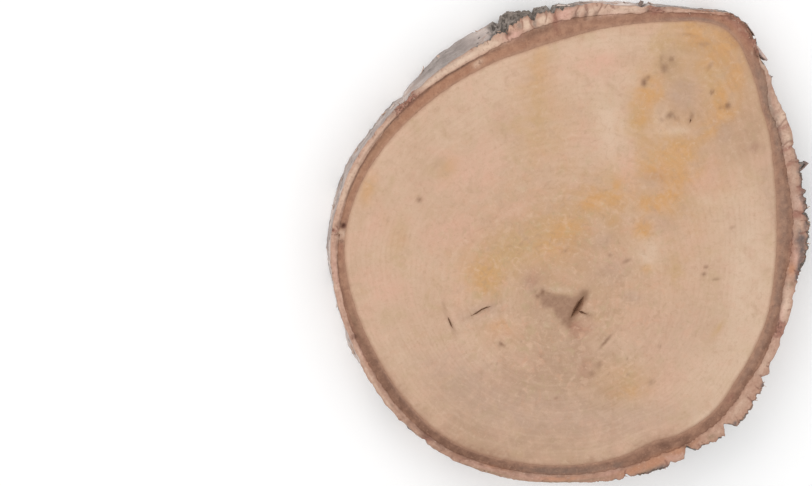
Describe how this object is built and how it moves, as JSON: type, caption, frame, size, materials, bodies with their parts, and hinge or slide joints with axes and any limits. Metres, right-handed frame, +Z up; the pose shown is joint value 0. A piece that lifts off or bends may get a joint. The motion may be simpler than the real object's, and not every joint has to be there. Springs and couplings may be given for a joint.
{
  "type": "birch wood slice",
  "caption": "Dried slice of a birch log: two flat sawn faces with a heart check and a knot, a sunken ring of brown inner bark, and a ragged bark edge with one blunt corner.",
  "frame": {"origin": "middle of the slice's bounding box, on the plane of the lower sawn face", "axes": "+Z up, along the log, out of the upper sawn face; +X and +Y lie in the sawn face, with the blunt corner between them, towards +X and +Y"},
  "size_m": [0.2442, 0.2434, 0.028],
  "materials": {
    "birch_wood": "matte",
    "inner_bark": "matte",
    "bark": "matte"
  },
  "bodies": {
    "root": {"birch_slice": "birch_wood"}
  },
  "joints": []
}
